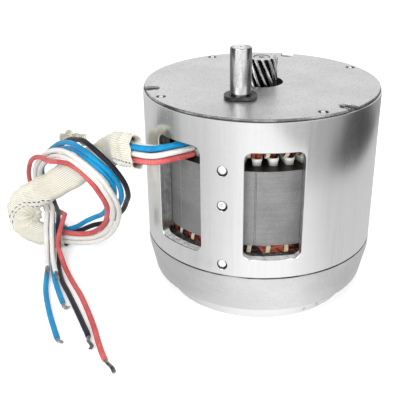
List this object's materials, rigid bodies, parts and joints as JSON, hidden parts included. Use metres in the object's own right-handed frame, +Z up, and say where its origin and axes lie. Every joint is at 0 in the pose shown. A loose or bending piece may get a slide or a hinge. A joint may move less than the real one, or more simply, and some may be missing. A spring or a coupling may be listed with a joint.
{
  "type": "meat grinder motor",
  "caption": "Open-frame induction motor with a windowed aluminium tube, end bell, gear plate, helical pinion, idler axle and a sleeved wiring harness",
  "frame": {"origin": "on the surface the motor stands on, on the rotor's axis", "axes": "+Z up along the shaft towards the pinion; -Y to the window with the side screws to its left; the harness leaves towards -X"},
  "size_m": [0.2597, 0.2, 0.1682],
  "materials": {
    "turned_aluminium": "satin, fine turning lines",
    "cast_aluminium": "satin, machined casting",
    "plate_aluminium": "matte, ground flat",
    "laminations": "matte, fine laminations",
    "winding": "varnished enamelled wire",
    "bright_steel": "ground, satin",
    "gear_steel": "dark, oiled, bright flanks",
    "blackened_steel": "blackened",
    "screw_steel": "zinc plated",
    "lead_red": "braided insulation",
    "lead_white": "braided insulation",
    "lead_blue": "smooth insulation",
    "lead_black": "smooth insulation",
    "sleeve": "woven fibreglass"
  },
  "bodies": {
    "motor": {"housing_tube": "turned_aluminium", "end_bell": "cast_aluminium", "gear_plate": "plate_aluminium", "stator_core": "laminations", "stator_winding": "winding", "idler_axle": "bright_steel", "axle_collar": "blackened_steel", "lower_bearing_outer": "bright_steel", "upper_bearing_outer": "bright_steel", "preload_washer": "bright_steel", "plate_screw_1": "screw_steel", "plate_screw_2": "screw_steel", "plate_screw_3": "screw_steel", "plate_screw_4": "screw_steel", "side_screw_1": "screw_steel", "side_screw_2": "screw_steel", "side_screw_3": "screw_steel", "side_screw_4": "screw_steel", "side_screw_5": "screw_steel", "side_screw_6": "screw_steel", "lead_red": "lead_red", "lead_white_1": "lead_white", "lead_white_2": "lead_white", "lead_blue_1": "lead_blue", "lead_blue_2": "lead_blue", "lead_black": "lead_black", "lead_sleeve": "sleeve"},
    "rotor": {"rotor_shaft": "bright_steel", "rotor_core": "laminations", "pinion": "gear_steel", "lower_bearing_inner": "bright_steel", "upper_bearing_inner": "bright_steel"}
  },
  "joints": [
    {"name": "rotor_spin", "type": "hinge", "parent": "motor", "child": "rotor", "pos_m": [0, 0, 0.08], "axis": [0, 0, 1], "continuous": true}
  ]
}
